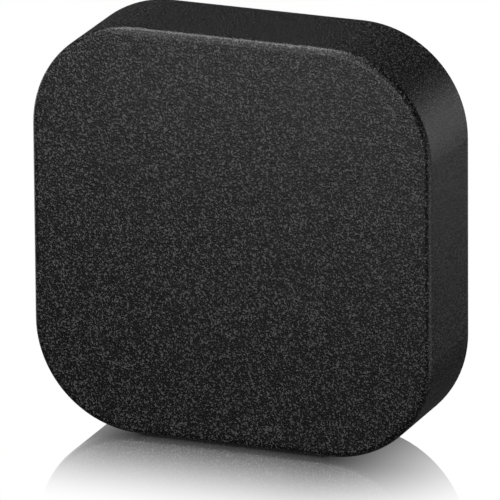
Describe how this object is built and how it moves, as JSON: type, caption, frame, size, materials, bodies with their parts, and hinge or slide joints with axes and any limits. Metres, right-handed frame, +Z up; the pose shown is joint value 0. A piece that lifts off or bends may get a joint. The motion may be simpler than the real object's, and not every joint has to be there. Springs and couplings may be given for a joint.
{
  "type": "streaming media player",
  "caption": "Matte black rounded-square media player box standing on its side wall, with power, video and network sockets and a reset button in the left wall.",
  "frame": {"origin": "centre of the box's footprint, on the surface that its lower side wall stands on", "axes": "+Z up, +X to the right seen from the lid, lid towards -Y and feet towards +Y"},
  "size_m": [0.098, 0.0252, 0.098],
  "materials": {
    "black_plastic": "fine spark-eroded grain, matte black",
    "base_plastic": "matte black moulded plastic",
    "foot_rubber": "soft black rubber",
    "label_film": "blank grey printed film",
    "screw_steel": "blackened steel",
    "plain_steel": "zinc-plated sheet steel",
    "insulation_film": "thin translucent insulating film",
    "board_green": "solder-masked fibreglass laminate",
    "chip_black": "moulded epoxy",
    "thermal_grey": "soft silicone pad",
    "sink_aluminium": "extruded, bead-blasted",
    "shield_tin": "tin-plated sheet",
    "ceramic": "ceramic with tinned ends",
    "can_aluminium": "plain aluminium can",
    "contact_gold": "gold-plated phosphor bronze",
    "socket_black": "glass-filled black plastic",
    "lens_dark": "dark infrared-passing resin",
    "led_white": "white package with a clear top",
    "clear_plastic": "clear moulded acrylic"
  },
  "bodies": {
    "housing": {"upper_shell": "black_plastic", "base_plate": "base_plastic", "rubber_feet": "foot_rubber", "rating_label": "label_film", "case_screws": "screw_steel", "board_screws": "screw_steel", "ballast_plate": "plain_steel", "insulating_sheet": "insulation_film", "main_board": "board_green", "processor": "chip_black", "thermal_pad": "thermal_grey", "heatsink": "sink_aluminium", "memory_chips": "chip_black", "flash_chip": "chip_black", "power_chip": "chip_black", "crystals": "shield_tin", "power_inductors": "chip_black", "ceramic_capacitors": "ceramic", "bulk_capacitors": "can_aluminium", "radio_module": "board_green", "radio_shield": "shield_tin", "radio_antenna_upper": "shield_tin", "radio_antenna_lower": "shield_tin", "network_transformer": "chip_black", "jack_body": "socket_black", "jack_pin": "contact_gold", "jack_spring": "contact_gold", "video_shell": "shield_tin", "video_insulator": "socket_black", "video_contacts": "contact_gold", "network_shield": "shield_tin", "network_insert": "socket_black", "network_contacts": "contact_gold", "switch_body": "socket_black", "ir_receiver": "lens_dark", "status_led": "led_white", "light_pipe": "clear_plastic"},
    "reset_button": {"reset_button": "base_plastic", "switch_plunger": "led_white"}
  },
  "joints": [
    {"name": "reset_press", "type": "slide", "parent": "housing", "child": "reset_button", "axis": [1, 0, 0], "range_m": [0, 0.0003], "stiffness_N_per_m": 2000, "springref_m": -0.0002}
  ]
}
